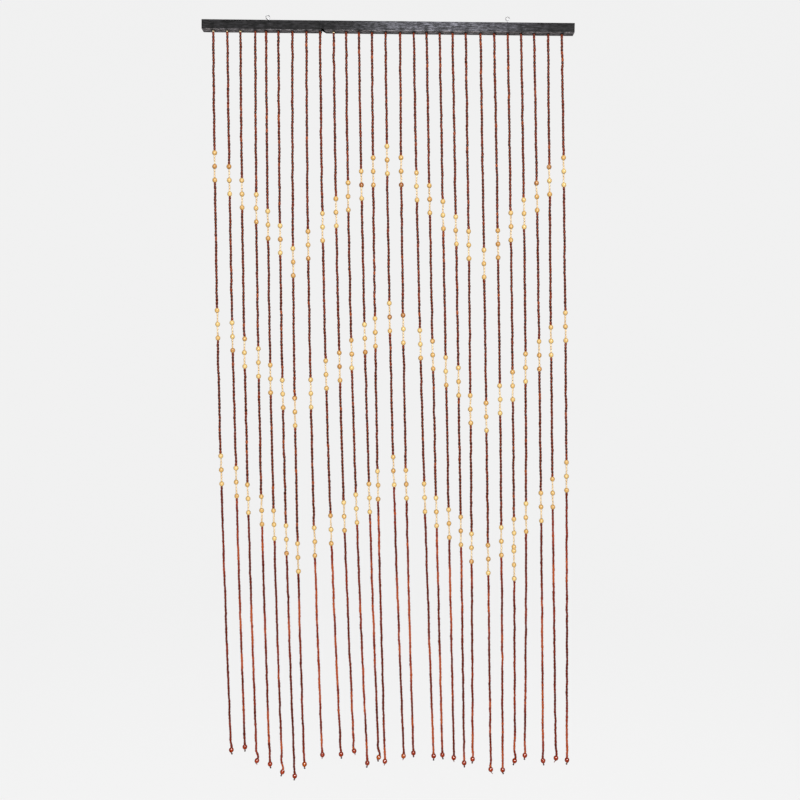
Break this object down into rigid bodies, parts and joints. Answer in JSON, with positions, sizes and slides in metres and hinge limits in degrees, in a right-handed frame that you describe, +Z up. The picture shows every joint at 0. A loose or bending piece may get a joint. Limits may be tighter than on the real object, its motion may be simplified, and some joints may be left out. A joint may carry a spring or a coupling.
{
  "type": "wooden bead string curtain on a wooden header bar",
  "caption": "Door curtain of hanging wooden bead strings in a zigzag banded pattern, on a black stained header bar with screw eyes.",
  "frame": {"origin": "midway between the centres of the two screw eye loops", "axes": "+Z up along the hanging strings, +X along the header bar to the right as seen from the front, -Y towards the viewer"},
  "size_m": [0.9227, 0.026, 1.895],
  "materials": {
    "black_stained_wood": "black stain, dry brushed, matt",
    "plated_wire": "dull zinc plated",
    "brown_beads": "reddish brown stain, satin",
    "rust_beads": "rust red stain, satin",
    "yellow_beads": "pale honey varnish, glossy",
    "pale_beads": "natural cream wood, satin",
    "orange_beads": "orange brown varnish, glossy",
    "cord": "thin twisted cord"
  },
  "bodies": {
    "root": {"header": "black_stained_wood", "screw_eye_left": "plated_wire", "screw_eye_right": "plated_wire", "strands": "brown_beads"}
  },
  "joints": []
}
